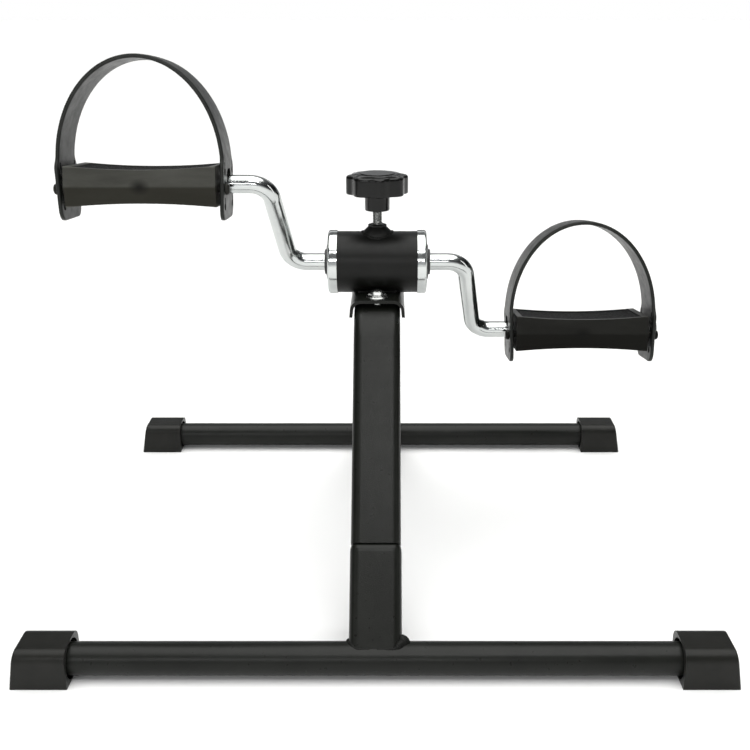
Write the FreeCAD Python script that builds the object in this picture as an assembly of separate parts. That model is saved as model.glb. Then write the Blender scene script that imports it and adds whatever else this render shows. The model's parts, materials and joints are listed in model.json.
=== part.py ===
import FreeCAD, Part
import math
import os
from FreeCAD import Vector as V

# Pedal exerciser: two floor bars joined by an arched leg tube, a friction drum on
# top of the arch, a bent crank through the drum and two strapped pedals.
# Frame: +X along the crank axis, +Y to the rear bar, +Z up.  The origin is on the
# floor, midway between the bars.  All lengths are in millimetres.

# ---------------------------------------------------------------- base bars
overall_length = 515.0
bar_spacing = 405.0
bar_diameter = 24.0
bar_wall = 1.5
bar_axis_height = 14.0

foot_length = 41.0
foot_width = 35.0
foot_height = 29.3
foot_shoulder_radius = 8.5
foot_end_wall = 4.0
foot_draft = 5.0                 # the outer end leans inwards this far over its height
foot_edge_radius = 1.5
socket_diameter = 29.0
socket_depth = 5.0
sole_groove_width = 2.4
sole_groove_depth = 1.0
sole_groove_count = 4
sole_margin = 4.0

# ---------------------------------------------------------------- legs and arch
leg_lean = 39.0                  # degrees from vertical, both legs lean inwards
arch_top_height = 230.0
arch_width = 37.0
arch_depth = 21.0
arch_corner = 7.0
arch_wall = 1.6
arch_bend_radius = 45.0
arch_start = 80.7                # distance up the leg from the bar's axis

stub_width = 38.0
stub_depth = 21.4
stub_corner = 7.0
stub_wall = 2.0
shoulder_start = 74.6
shoulder_length = 6.0
neck_gap = 0.3                   # clearance of the neck in the arch tube
neck_length = 46.0
neck_wall = 1.6
leg_screw_place = 104.0
leg_screw_diameter = 6.0

# ---------------------------------------------------------------- drum and saddle
drum_diameter = 50.0
drum_wall = 2.0
drum_body_length = 65.0          # black length between the end caps
drum_length = 80.0               # over the end caps
end_cap_diameter = 52.0
end_cap_wall = 2.0
end_cap_edge_radius = 2.0

saddle_length = 77.5
saddle_thickness = 2.5
saddle_skirt = 11.5
saddle_top_half_width = 18.6
saddle_splay = 1.2
saddle_bolt_spacing = 56.0
bolt_diameter = 8.0
bolt_hole_diameter = 8.6
flange_diameter = 18.0
flange_thickness = 1.6
hex_across_flats = 13.0
bolt_head_height = 6.6
nut_height = 8.0

bush_barrel_diameter = 22.0
bush_barrel_length = 9.0
bush_flange_diameter = 28.0
bush_flange_thickness = 1.3
bush_step_diameter = 20.5
bush_step_thickness = 1.8

# ---------------------------------------------------------------- crank
rod_diameter = 14.0
crank_throw = 78.0
crank_angle = 27.5               # degrees from vertical, left pedal up and forward
crank_inner_corner = 71.4
crank_outer_corner = 83.0
crank_bend_radius = 16.0
rod_end = 240.6
running_clearance = 0.08

# ---------------------------------------------------------------- friction brake
sleeve_diameter = 26.0
sleeve_length = 36.0
shoe_gap = 0.5
shoe_thickness = 4.0
shoe_length = 30.0
shoe_half_angle = 50.0
shoe_boss_diameter = 12.0
shoe_boss_height = 1.0
screw_diameter = 7.84
nut_bore_diameter = 8.0
screw_socket_depth = 3.0
screw_tip_gap = 0.3
weld_nut_height = 6.5
weld_cone_diameter = 24.0
weld_cone_height = 4.6

knob_diameter = 50.0
knob_bottom_height = 311.0
knob_grip_height = 15.0
knob_dome = 1.6
knob_lobes = 8
scallop_radius = 10.5
scallop_depth = 2.2
knob_hub_diameter = 20.0
knob_hub_length = 13.4
knob_cap_diameter = 28.0
knob_cap_seat = 1.6
screw_in_knob = 10.0              # depth of the screw above the hub

# ---------------------------------------------------------------- pedals
pedal_inner_end = 118.2
pedal_length = 111.8
pedal_width = 64.0
pedal_top_width = 58.0
pedal_height = 30.0
pedal_waist = 2.8                # how far the top and bottom dip in the middle
pedal_tilt = {"left": -5.0, "right": -9.0}   # degrees about +X, front edge raised
tread_margin = 5.0
tread_width = 51.0
tread_sink = 0.8
tread_thickness = 3.2
tread_groove_pitch = 4.6
tread_groove_width = 1.6
tread_groove_depth = 1.1
tread_groove_count = 10
window_inner = 11.5
window_outer = 24.0
pedal_bush_diameter = 18.0
pedal_bush_length = 16.0
boss_diameter = 22.0
boss_length = 3.0

peg_offset = 17.0
peg_drop = 2.5
peg_diameter = 5.0
peg_head_diameter = 8.4
peg_head_height = 3.0
peg_root = 8.0                   # length of the peg's stem inside the pedal

end_disc_diameter = 25.0
end_disc_start = 238.7
end_disc_end = 242.0

# ---------------------------------------------------------------- straps
strap_thickness = 3.0
strap_width = 39.0
strap_tab_width = 48.0
strap_centre = 175.5
strap_foot_half_span = 60.0     # band centre line at the lower ends
strap_half_span = 61.2           # band centre line at the widest place
strap_bottom = -26.0             # heights are measured from the pedal's axle
strap_waist = 14.0
strap_apex = 93.0
tab_top = 12.0
tab_blend_top = 22.0
tab_corner = 9.0
axle_slot_radius = 8.0
axle_slot_length = 12.0
keyhole_radius = 2.9
keyhole_rows = (10.5, -2.5, -15.5)

half_length = overall_length / 2
half_spacing = bar_spacing / 2
lean = math.radians(leg_lean)
leg_direction = V(0, math.sin(lean), math.cos(lean))
leg_depth_direction = V(0, -math.cos(lean), math.sin(lean))
drum_axis_height = arch_top_height + drum_diameter / 2
drum_centre = V(0, 0, drum_axis_height)
X_AXIS = V(1, 0, 0)
Y_AXIS = V(0, 1, 0)
Z_AXIS = V(0, 0, 1)


# ================================================================ helpers
def save(name, *shapes):
    """Write one node: a single solid, or a compound of separate solids."""
    shape = shapes[0] if len(shapes) == 1 else Part.makeCompound(list(shapes))
    shape.exportStep(f"parts/{name}.step")
    solids = shape.Solids
    sound = all(solid.isValid() for solid in solids)
    print(f"{name}: {len(solids)} solid(s), valid {sound}, {shape.Volume / 1000:.1f} cm3")


def rod(start, direction, radius, length):
    return Part.makeCylinder(radius, length, start, direction)


def box(low, high):
    size = high - low
    return Part.makeBox(size.x, size.y, size.z, low)


def rounded_path(points, radii):
    """Edges of a path with an arc at each inner point; radii has one value for each."""
    edges = []
    start = points[0]
    for index, radius in enumerate(radii, start=1):
        corner = points[index]
        back = (points[index - 1] - corner).normalize()
        ahead = (points[index + 1] - corner).normalize()
        half_opening = back.getAngle(ahead) / 2
        reach = radius / math.tan(half_opening)
        middle = (back + ahead).normalize()
        centre_distance = radius / math.sin(half_opening)
        arc_start = corner + back * reach
        arc_end = corner + ahead * reach
        arc_middle = corner + middle * (centre_distance - radius)
        if (arc_start - start).Length > 1e-6:
            edges.append(Part.makeLine(start, arc_start))
        edges.append(Part.Arc(arc_start, arc_middle, arc_end).toShape())
        start = arc_end
    edges.append(Part.makeLine(start, points[-1]))
    return edges


def closed_outline(points, radii):
    """Face inside a closed polygon whose corners are rounded; a zero radius is sharp."""
    edges = []
    count = len(points)
    ends = []
    for index, radius in enumerate(radii):
        corner = points[index]
        back = (points[index - 1] - corner).normalize()
        ahead = (points[(index + 1) % count] - corner).normalize()
        half_opening = back.getAngle(ahead) / 2
        reach = radius / math.tan(half_opening)
        middle_distance = radius / math.sin(half_opening) - radius
        middle = corner + (back + ahead).normalize() * middle_distance
        ends.append((corner + back * reach, middle, corner + ahead * reach))
    for index, (arc_start, middle, arc_end) in enumerate(ends):
        if radii[index] > 0:
            edges.append(Part.Arc(arc_start, middle, arc_end).toShape())
        next_start = ends[(index + 1) % count][0]
        if (next_start - arc_end).Length > 1e-6:
            edges.append(Part.makeLine(arc_end, next_start))
    return Part.Face(Part.Wire(Part.__sortEdges__(edges)))


def section(centre, across, deep, width, depth, corner):
    """Rounded rectangle about a centre, in the plane of two unit directions."""
    a = across * (width / 2)
    d = deep * (depth / 2)
    corners = [centre - a - d, centre + a - d, centre + a + d, centre - a + d]
    return closed_outline(corners, [corner] * 4)


def sweep(path_edges, profile):
    return Part.Wire(path_edges).makePipeShell([profile.OuterWire], True, False)


def hexagon(centre, across_flats, height):
    """Upright hexagonal prism standing on the centre point."""
    radius = across_flats / math.sqrt(3)
    points = [centre + V(radius * math.cos(math.radians(60 * k)),
                         radius * math.sin(math.radians(60 * k)), 0) for k in range(7)]
    return Part.Face(Part.makePolygon(points)).extrude(V(0, 0, height))


def edges_where(shape, test):
    return [edge for edge in shape.Edges if test(edge)]


def mirror_x(shape):
    return shape.mirror(V(0, 0, 0), X_AXIS)


def mirror_y(shape):
    return shape.mirror(V(0, 0, 0), Y_AXIS)


# ================================================================ base
def base_tube():
    """Front floor bar, open at both ends."""
    length = overall_length - 2 * foot_end_wall
    start = V(-length / 2, -half_spacing, bar_axis_height)
    outer = rod(start, X_AXIS, bar_diameter / 2, length)
    return outer.cut(rod(start, X_AXIS, bar_diameter / 2 - bar_wall, length))


def foot_cap():
    """Front left foot: a moulded block with a flat sole and a socket for the bar."""
    outer_end = -half_length
    inner_end = outer_end + foot_length
    half = foot_width / 2
    outline = closed_outline(
        [V(outer_end, -half - half_spacing, 0), V(outer_end, half - half_spacing, 0),
         V(outer_end, half - half_spacing, foot_height),
         V(outer_end, -half - half_spacing, foot_height)],
        [0, 0, foot_shoulder_radius, foot_shoulder_radius])
    block = outline.extrude(V(foot_length, 0, 0))
    wedge_points = [V(outer_end - 1, 0, 0), V(outer_end, 0, 0), V(outer_end + foot_draft, 0, foot_height),
                    V(outer_end - 1, 0, foot_height + 1), V(outer_end - 1, 0, 0)]
    wedge = Part.Face(Part.makePolygon(wedge_points)).extrude(V(0, foot_width * 2, 0))
    wedge.translate(V(0, -half_spacing - foot_width, 0))
    block = block.cut(wedge)
    lean_limit = outer_end + foot_draft + 0.01
    end_rims = edges_where(block, lambda e: all(v.X < lean_limit for v in e.Vertexes)
                           and e.BoundBox.ZMax > 1.0)
    block = block.makeFillet(foot_edge_radius, end_rims)
    axis_start = V(outer_end + foot_end_wall, -half_spacing, bar_axis_height)
    bore = rod(axis_start, X_AXIS, bar_diameter / 2 + 0.03, foot_length)
    mouth = rod(V(inner_end - socket_depth, -half_spacing, bar_axis_height),
                X_AXIS, socket_diameter / 2, socket_depth + 1)
    mouth = mouth.common(box(V(outer_end, -half_spacing - half, 1.6),
                             V(inner_end + 2, -half_spacing + half, foot_height - 1.2)))
    cap = block.cut(bore).cut(mouth)
    pitch = foot_length / (sole_groove_count + 1)
    for k in range(sole_groove_count):
        x = outer_end + pitch * (k + 1)
        groove_half = half - sole_margin
        groove = box(V(x - sole_groove_width / 2, -half_spacing - groove_half, -1),
                     V(x + sole_groove_width / 2, -half_spacing + groove_half, sole_groove_depth))
        cap = cap.cut(groove)
    return cap


def along_leg(distance):
    """Point on the front leg's centre line, measured from the bar's axis."""
    return V(0, -half_spacing, bar_axis_height) + leg_direction * distance


def leg_section(distance, width, depth, corner):
    return section(along_leg(distance), X_AXIS, leg_depth_direction, width, depth, corner)


def leg_prism(start, end, width, depth, corner):
    return leg_section(start, width, depth, corner).extrude(leg_direction * (end - start))


def stub_tube():
    """Front stub: a tube coped onto the bar, swaged at its top to a neck."""
    neck_width = arch_width - 2 * arch_wall - 2 * neck_gap
    neck_depth = arch_depth - 2 * arch_wall - 2 * neck_gap
    neck_corner = arch_corner - arch_wall - neck_gap
    shoulder_steps = 4
    inset = (stub_width - neck_width) / 2
    wires = []
    for k in range(shoulder_steps + 1):
        angle = math.pi / 2 * k / shoulder_steps
        drop = inset * (1 - math.cos(angle))
        place = shoulder_start + shoulder_length * math.sin(angle)
        corner = stub_corner + (neck_corner - stub_corner) * k / shoulder_steps
        wires.append(leg_section(place, stub_width - 2 * drop, stub_depth - 2 * drop, corner).OuterWire)
    shoulder = Part.makeLoft(wires, True, True)
    body = leg_prism(0, shoulder_start, stub_width, stub_depth, stub_corner)
    neck_base = shoulder_start + shoulder_length
    neck_end = arch_start + neck_length
    neck_outer_depth = stub_depth - (stub_width - neck_width)
    neck = leg_prism(neck_base, neck_end, neck_width, neck_outer_depth, neck_corner)
    solid = body.fuse([shoulder, neck]).removeSplitter()
    hollow_low = leg_prism(0, shoulder_start - 1, stub_width - 2 * stub_wall,
                           stub_depth - 2 * stub_wall, stub_corner - stub_wall)
    hollow_high = leg_prism(shoulder_start - 2, neck_end, neck_width - 2 * neck_wall,
                            neck_outer_depth - 2 * neck_wall, neck_corner - neck_wall)
    solid = solid.cut(hollow_low).cut(hollow_high)
    bar = rod(V(-half_length, -half_spacing, bar_axis_height), X_AXIS,
              bar_diameter / 2 + 0.02, overall_length)
    below = box(V(-50, -half_spacing - 60, -60), V(50, -half_spacing + 60, bar_axis_height))
    return solid.cut(bar).cut(below).cut(leg_screw_hole())


def leg_screw_axis():
    """Start point on the leg's inner face and the direction into the leg."""
    surface = along_leg(leg_screw_place) - leg_depth_direction * (arch_depth / 2)
    return surface, leg_depth_direction


def leg_screw_hole():
    surface, inward = leg_screw_axis()
    return rod(surface - inward * 2, inward, leg_screw_diameter / 2 + 0.05, arch_depth / 2)


def leg_screw():
    """Front joint screw: a low round head on the leg's inner face."""
    surface, inward = leg_screw_axis()
    shank = rod(surface, inward, leg_screw_diameter / 2, 7.5)
    head = rod(surface - inward * 3.0, inward, 5.5, 3.0)
    rim = edges_where(head, lambda e: e.CenterOfMass.distanceToPoint(surface) > 2.5)
    head = head.makeFillet(1.8, [e for e in rim if e.isClosed()])
    return shank.fuse(head)


# ================================================================ arch
def arch_path():
    top = arch_top_height - arch_depth / 2
    corner = V(0, -half_spacing + (top - bar_axis_height) * math.tan(lean), top)
    start = along_leg(arch_start)
    points = [start, corner, V(0, -corner.y, top), V(0, -start.y, start.z)]
    return rounded_path(points, [arch_bend_radius, arch_bend_radius])


def arch_tube():
    outer = sweep(arch_path(), leg_section(arch_start, arch_width, arch_depth, arch_corner))
    inner = sweep(arch_path(), leg_section(arch_start, arch_width - 2 * arch_wall,
                                           arch_depth - 2 * arch_wall, arch_corner - arch_wall))
    tube = outer.cut(inner)
    for y in (-saddle_bolt_spacing / 2, saddle_bolt_spacing / 2):
        tube = tube.cut(rod(V(0, y, arch_top_height - 60), Z_AXIS, bolt_hole_diameter / 2, 80))
    return tube.cut(leg_screw_hole()).cut(mirror_y(leg_screw_hole()))


def arch_drop(y, radius):
    """How far a bent wall of this radius has fallen below the arch's flat top at y."""
    top = arch_top_height - arch_depth / 2
    corner_y = half_spacing - (top - bar_axis_height) * math.tan(lean)
    flat_half = corner_y - arch_bend_radius * math.tan((math.pi / 2 - lean) / 2)
    beyond = max(0.0, abs(y) - flat_half)
    return radius - math.sqrt(radius ** 2 - beyond ** 2)


# ================================================================ saddle and fasteners
def saddle_face(y, grow):
    """Outline of the saddle's cross-section, grown outwards from its inner surface."""
    half_top = saddle_top_half_width + grow
    half_foot = half_top + saddle_splay
    top = arch_top_height + grow
    foot = arch_top_height - saddle_skirt
    points = [V(-half_foot, y, foot), V(-half_top, y, top), V(half_top, y, top), V(half_foot, y, foot)]
    return closed_outline(points, [0, 6.4 + grow, 6.4 + grow, 0])


def drum_solid(radius):
    return rod(V(-drum_length / 2, 0, drum_axis_height), X_AXIS, radius, drum_length)


def saddle_bracket():
    """Inverted channel over the arch, cut away where the drum sits in it."""
    run = V(0, saddle_length, 0)
    outer = saddle_face(-saddle_length / 2, saddle_thickness).extrude(run)
    inner = saddle_face(-saddle_length / 2, 0).extrude(run)
    plate = outer.cut(inner).cut(drum_solid(drum_diameter / 2 + 0.02))
    for y in (-saddle_bolt_spacing / 2, saddle_bolt_spacing / 2):
        plate = plate.cut(rod(V(0, y, arch_top_height - 5), Z_AXIS, bolt_hole_diameter / 2, 15))
    return plate


def half_moon_washer(y):
    """Washer with a curved top that fits the bent underside of the arch."""
    inner_radius = arch_bend_radius - arch_depth / 2
    seat = arch_top_height - arch_depth
    low = seat - arch_drop(abs(y) + 8, inner_radius) - 1.4
    block = rod(V(0, y, low), Z_AXIS, 8.0, seat - low)
    solid = block.cut(arch_underside())
    return solid.cut(rod(V(0, y, low - 1), Z_AXIS, bolt_hole_diameter / 2, 30))


def arch_underside():
    return sweep(arch_path(), leg_section(arch_start, arch_width, arch_depth + 0.02, arch_corner))


def saddle_bolt(y):
    """Hexagon flange bolt, its head on the saddle and its shank through the arch."""
    seat = V(0, y, arch_top_height + saddle_thickness)
    flange = rod(seat, Z_AXIS, flange_diameter / 2, flange_thickness)
    rim = edges_where(flange, lambda e: e.isClosed() and e.CenterOfMass.z > seat.z + 1)
    flange = flange.makeChamfer(0.8, rim)
    head = hexagon(seat, hex_across_flats, bolt_head_height)
    dome_radius = 8.6
    dome = Part.makeSphere(dome_radius, seat + V(0, 0, bolt_head_height - dome_radius))
    head = head.common(dome.fuse(rod(seat, Z_AXIS, dome_radius, 2.0)))
    washer_face = nut_seat(y)
    shank_end = washer_face - nut_height - 3.0
    shank = rod(V(0, y, shank_end), Z_AXIS, bolt_diameter / 2, seat.z - shank_end + 1)
    return flange.fuse([head, shank])


def nut_seat(y):
    inner_radius = arch_bend_radius - arch_depth / 2
    return arch_top_height - arch_depth - arch_drop(abs(y) + 8, inner_radius) - 1.4


def saddle_nut(y):
    """Lock nut: a hexagon with a rounded collar below it."""
    seat = nut_seat(y)
    hexa = hexagon(V(0, y, seat - 6.0), hex_across_flats, 6.0)
    collar = rod(V(0, y, seat - nut_height), Z_AXIS, 5.8, 2.5)
    rim = edges_where(collar, lambda e: e.isClosed() and e.CenterOfMass.z < seat - nut_height + 0.5)
    nut = hexa.fuse(collar.makeFillet(0.8, rim))
    return nut.cut(rod(V(0, y, seat - nut_height - 1), Z_AXIS, bolt_diameter / 2 + 0.02, 12))


# ================================================================ drum
def drum_housing():
    reach = drum_length / 2 - end_cap_wall - 0.1
    start = V(-reach, 0, drum_axis_height)
    tube = rod(start, X_AXIS, drum_diameter / 2, 2 * reach)
    tube = tube.cut(rod(start, X_AXIS, drum_diameter / 2 - drum_wall, 2 * reach))
    return tube.cut(rod(drum_centre, Z_AXIS, nut_bore_diameter / 2 + 0.2, drum_diameter))


def adjuster_weld_nut():
    """Hexagon nut on the drum's crown with its weld run out to a cone."""
    crown = arch_top_height + drum_diameter
    foot = crown - 6.0
    hexa = hexagon(V(0, 0, foot), hex_across_flats, 6.0 + weld_nut_height)
    rim = edges_where(hexa, lambda e: e.CenterOfMass.z > crown + weld_nut_height - 0.1)
    hexa = hexa.makeChamfer(0.6, rim)
    skirt = rod(V(0, 0, foot), Z_AXIS, weld_cone_diameter / 2, 6.0)
    cone = Part.makeCone(weld_cone_diameter / 2, hex_across_flats / 2 + 0.8, weld_cone_height,
                         V(0, 0, crown), Z_AXIS)
    solid = hexa.fuse([skirt, cone]).cut(drum_solid(drum_diameter / 2 + 0.02))
    return solid.cut(rod(V(0, 0, foot - 1), Z_AXIS, nut_bore_diameter / 2, 20))


def drum_end_cap():
    """Left chromed cup over the drum's end, with a dished face and a bush hole."""
    outer_face = -drum_length / 2
    lip = -drum_body_length / 2
    centre = V(outer_face, 0, drum_axis_height)
    cup = rod(centre, X_AXIS, end_cap_diameter / 2, lip - outer_face)
    rim = edges_where(cup, lambda e: e.isClosed() and abs(e.CenterOfMass.x - outer_face) < 0.1)
    cup = cup.makeFillet(end_cap_edge_radius, rim)
    cup = cup.cut(rod(centre + V(end_cap_wall, 0, 0), X_AXIS, drum_diameter / 2 + 0.04, 20))
    dish = Part.makeCone(19.5, 18.3, 0.61, centre + V(-0.01, 0, 0), X_AXIS)
    cup = cup.cut(dish)
    return cup.cut(rod(centre + V(-1, 0, 0), X_AXIS, bush_barrel_diameter / 2 + 0.03, 8))


def crank_bush():
    """Left flanged plastic bush that carries the crank in the end cap."""
    face = -drum_length / 2 + 0.6
    centre = V(face, 0, drum_axis_height)
    barrel = rod(centre, X_AXIS, bush_barrel_diameter / 2, bush_barrel_length)
    flange = rod(centre - V(0.6 + bush_flange_thickness, 0, 0), X_AXIS,
                 bush_flange_diameter / 2, 0.6 + bush_flange_thickness)
    step_start = 0.6 + bush_flange_thickness + bush_step_thickness
    step = rod(centre - V(step_start, 0, 0), X_AXIS, bush_step_diameter / 2, bush_step_thickness)
    rim = edges_where(step, lambda e: e.isClosed() and e.CenterOfMass.x < face - step_start + 0.1)
    step = step.makeFillet(0.7, rim)
    bush = barrel.fuse([flange, step])
    bore = rod(centre - V(10, 0, 0), X_AXIS, rod_diameter / 2 + running_clearance, 30)
    return bush.cut(bore)


# ================================================================ crank and brake
def pedal_axle(side):
    """A point on the pedal's axle at X = 0; side is -1 for left and +1 for right."""
    angle = math.radians(crank_angle)
    reach = V(0, math.sin(angle), -math.cos(angle)) * crank_throw
    return drum_centre + reach * side


def crank_rod():
    left = pedal_axle(-1)
    right = pedal_axle(1)
    points = [left + V(-rod_end, 0, 0), left + V(-crank_outer_corner, 0, 0),
              drum_centre + V(-crank_inner_corner, 0, 0), drum_centre + V(crank_inner_corner, 0, 0),
              right + V(crank_outer_corner, 0, 0), right + V(rod_end, 0, 0)]
    edges = rounded_path(points, [crank_bend_radius] * 4)
    pieces = []
    for edge in edges:
        start = edge.Vertexes[0].Point
        tangent = edge.tangentAt(edge.FirstParameter)
        disc = Part.Face(Part.Wire(Part.makeCircle(rod_diameter / 2, start, tangent)))
        if isinstance(edge.Curve, Part.Line):
            pieces.append(disc.extrude(edge.Vertexes[-1].Point - start))
        else:
            circle = edge.Curve
            turn = math.degrees(edge.LastParameter - edge.FirstParameter)
            pieces.append(disc.revolve(circle.Center, circle.Axis, turn))
    solid = pieces[0].fuse(pieces[1:])
    for x in (left.x - rod_end, right.x + rod_end):
        rims = edges_where(solid, lambda e: e.isClosed() and abs(e.CenterOfMass.x - x) < 0.1)
        solid = solid.makeChamfer(0.8, rims)
    return solid


def brake_sleeve():
    start = drum_centre - V(sleeve_length / 2, 0, 0)
    sleeve = rod(start, X_AXIS, sleeve_diameter / 2, sleeve_length)
    return sleeve.cut(rod(start, X_AXIS, rod_diameter / 2 + 0.02, sleeve_length))


def brake_shoe():
    """Curved pad that the screw presses down onto the sleeve."""
    inner = sleeve_diameter / 2 + shoe_gap
    outer = inner + shoe_thickness
    start = drum_centre - V(shoe_length / 2, 0, 0)
    ring = rod(start, X_AXIS, outer, shoe_length).cut(rod(start, X_AXIS, inner, shoe_length))
    edge = outer * 2
    half = math.radians(shoe_half_angle)
    wedge_points = [start, start + V(0, -edge * math.sin(half), edge * math.cos(half)),
                    start + V(0, edge * math.sin(half), edge * math.cos(half)), start]
    wedge = Part.Face(Part.makePolygon(wedge_points)).extrude(V(shoe_length, 0, 0))
    pad = ring.common(wedge)
    boss = rod(drum_centre + V(0, 0, inner + 1), Z_AXIS, shoe_boss_diameter / 2,
               shoe_thickness + shoe_boss_height - 1)
    solid = pad.fuse(boss)
    top = inner + shoe_thickness + shoe_boss_height
    socket = rod(drum_centre + V(0, 0, top - screw_socket_depth), Z_AXIS,
                 screw_diameter / 2 + 0.3, screw_socket_depth + 1)
    return solid.cut(socket)


def screw_tip_height():
    shoe_top = sleeve_diameter / 2 + shoe_gap + shoe_thickness + shoe_boss_height
    return drum_axis_height + shoe_top - screw_socket_depth + screw_tip_gap


def tension_screw():
    low = screw_tip_height()
    high = knob_bottom_height + screw_in_knob
    screw = rod(V(0, 0, low), Z_AXIS, screw_diameter / 2, high - low)
    tip = edges_where(screw, lambda e: e.isClosed() and e.CenterOfMass.z < low + 0.1)
    return screw.makeChamfer(1.0, tip)


def tension_knob():
    """Lobed grip on a round hub, with a low domed top and a seat for its cap."""
    bottom = knob_bottom_height
    radius = knob_diameter / 2
    grip = rod(V(0, 0, bottom), Z_AXIS, radius, knob_grip_height + knob_dome)
    for k in range(knob_lobes):
        angle = 2 * math.pi * (k + 0.5) / knob_lobes - math.radians(6.5)
        distance = radius + scallop_radius - scallop_depth
        centre = V(distance * math.sin(angle), -distance * math.cos(angle), bottom - 1)
        grip = grip.cut(rod(centre, Z_AXIS, scallop_radius, knob_grip_height + 10))
    sphere_radius = (radius ** 2 + knob_dome ** 2) / (2 * knob_dome)
    dome = Part.makeSphere(sphere_radius,
                           V(0, 0, bottom + knob_grip_height + knob_dome - sphere_radius))
    grip = grip.common(dome)
    hub = rod(V(0, 0, bottom - knob_hub_length), Z_AXIS, knob_hub_diameter / 2, knob_hub_length + 2)
    foot = edges_where(hub, lambda e: e.isClosed() and e.CenterOfMass.z < bottom - 5)
    knob = grip.fuse(hub.makeFillet(0.8, foot))
    knob = knob.cut(rod(V(0, 0, bottom - knob_hub_length - 1), Z_AXIS, screw_diameter / 2 + 0.02,
                        knob_hub_length + 1 + screw_in_knob))
    seat = bottom + knob_grip_height + knob_dome - knob_cap_seat
    return knob.cut(rod(V(0, 0, seat), Z_AXIS, knob_cap_diameter / 2 + 0.15, 5))


def knob_cap():
    """Plain round cap set in the knob's top."""
    seat = knob_bottom_height + knob_grip_height + knob_dome - knob_cap_seat
    cap = rod(V(0, 0, seat), Z_AXIS, knob_cap_diameter / 2, knob_cap_seat)
    rim = edges_where(cap, lambda e: e.isClosed() and e.CenterOfMass.z > seat + 1)
    return cap.makeFillet(0.5, rim)


# ================================================================ pedals
# Pedal parts are built for the right side about an axle through the origin, level,
# and then turned by the pedal's tilt and moved onto the crank.
def waist_cylinder(sink):
    """Large cylinder whose surface is the pedal's dipped top, lowered by sink."""
    half = pedal_length / 2
    radius = (half ** 2 + pedal_waist ** 2) / (2 * pedal_waist)
    height = pedal_height / 2 - pedal_waist + radius
    centre = V(pedal_inner_end + half, -pedal_width, height)
    return rod(centre, Y_AXIS, radius + sink, 2 * pedal_width)


def upside_down(shape):
    return shape.mirror(V(0, 0, 0), Z_AXIS)


def pedal_body():
    """Moulded pedal: six-sided section, dipped top and bottom, windows round the axle."""
    low = pedal_inner_end
    half_width = pedal_width / 2
    half_top = pedal_top_width / 2
    half_height = pedal_height / 2
    points = [V(low, -half_width, 0), V(low, -half_top, half_height), V(low, half_top, half_height),
              V(low, half_width, 0), V(low, half_top, -half_height), V(low, -half_top, -half_height)]
    outline = closed_outline(points, [0, 1.0, 1.0, 0, 1.0, 1.0])
    body = outline.extrude(V(pedal_length, 0, 0))
    dip = waist_cylinder(0)
    body = body.cut(dip).cut(upside_down(dip))
    pocket_span = box(V(low + tread_margin, -tread_width / 2, 0),
                      V(low + pedal_length - tread_margin, tread_width / 2, 40))
    pocket = pocket_span.common(waist_cylinder(tread_sink + tread_thickness + 0.03))
    body = body.cut(pocket).cut(upside_down(pocket))
    for side in (-1, 1):
        near, far = sorted((side * window_inner, side * window_outer))
        window = box(V(low + tread_margin + 2, near, -40),
                     V(low + pedal_length - tread_margin - 2, far, 40))
        body = body.cut(window)
    boss = rod(V(low + pedal_length - 1, 0, 0), X_AXIS, boss_diameter / 2, boss_length + 1)
    body = body.fuse(boss)
    body = body.cut(rod(V(low - 1, 0, 0), X_AXIS, pedal_bush_diameter / 2 + 0.03, pedal_length + 20))
    for y in (-peg_offset, peg_offset):
        body = body.fuse(rod(V(low + pedal_length - 1, y, -peg_drop), X_AXIS,
                             peg_diameter / 2 + 1.2, boss_length + 1))
    for y in (-peg_offset, peg_offset):
        seat = rod(V(low - 1, y, -peg_drop), X_AXIS, peg_diameter / 2 + 0.02, peg_root + 1)
        body = body.cut(seat)
        end = low + pedal_length - peg_root
        body = body.cut(rod(V(end, y, -peg_drop), X_AXIS, peg_diameter / 2 + 0.02,
                            peg_root + boss_length + 1))
    return body


def pedal_tread():
    """Ribbed rubber insert of the pedal's top."""
    inset = 0.15
    span = box(V(pedal_inner_end + tread_margin + inset, -tread_width / 2 + inset, 0),
               V(pedal_inner_end + pedal_length - tread_margin - inset, tread_width / 2 - inset, 40))
    pad = span.common(waist_cylinder(tread_sink + tread_thickness)).cut(waist_cylinder(tread_sink))
    groove_floor = waist_cylinder(tread_sink + tread_groove_depth)
    for k in range(tread_groove_count):
        y = (k - (tread_groove_count - 1) / 2) * tread_groove_pitch
        groove = box(V(pedal_inner_end, y - tread_groove_width / 2, 0),
                     V(pedal_inner_end + pedal_length, y + tread_groove_width / 2, 40))
        pad = pad.cut(groove.common(groove_floor))
    return pad


def pedal_bushes():
    """Two plastic sleeves, one in each end of the pedal's axle bore."""
    outer_end = pedal_inner_end + pedal_length + boss_length
    sleeves = []
    for start in (pedal_inner_end, outer_end - pedal_bush_length):
        sleeve = rod(V(start, 0, 0), X_AXIS, pedal_bush_diameter / 2, pedal_bush_length)
        sleeves.append(sleeve.cut(rod(V(start, 0, 0), X_AXIS, rod_diameter / 2 + running_clearance,
                                      pedal_bush_length)))
    return sleeves


def strap_peg(x, outward, y):
    """Round-headed peg; x is where its head starts, outward is -1 or +1 along X."""
    direction = V(outward, 0, 0)
    stem_length = 4.0 + peg_root - 1.0 + (boss_length if outward > 0 else 0.0)
    stem = rod(V(x, y, -peg_drop) - direction * stem_length, direction, peg_diameter / 2, stem_length)
    head = rod(V(x, y, -peg_drop), direction, peg_head_diameter / 2, peg_head_height)
    rim = edges_where(head, lambda e: e.isClosed() and abs(e.CenterOfMass.x - x) > 1)
    return stem.fuse(head.makeFillet(2.2, rim))


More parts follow.
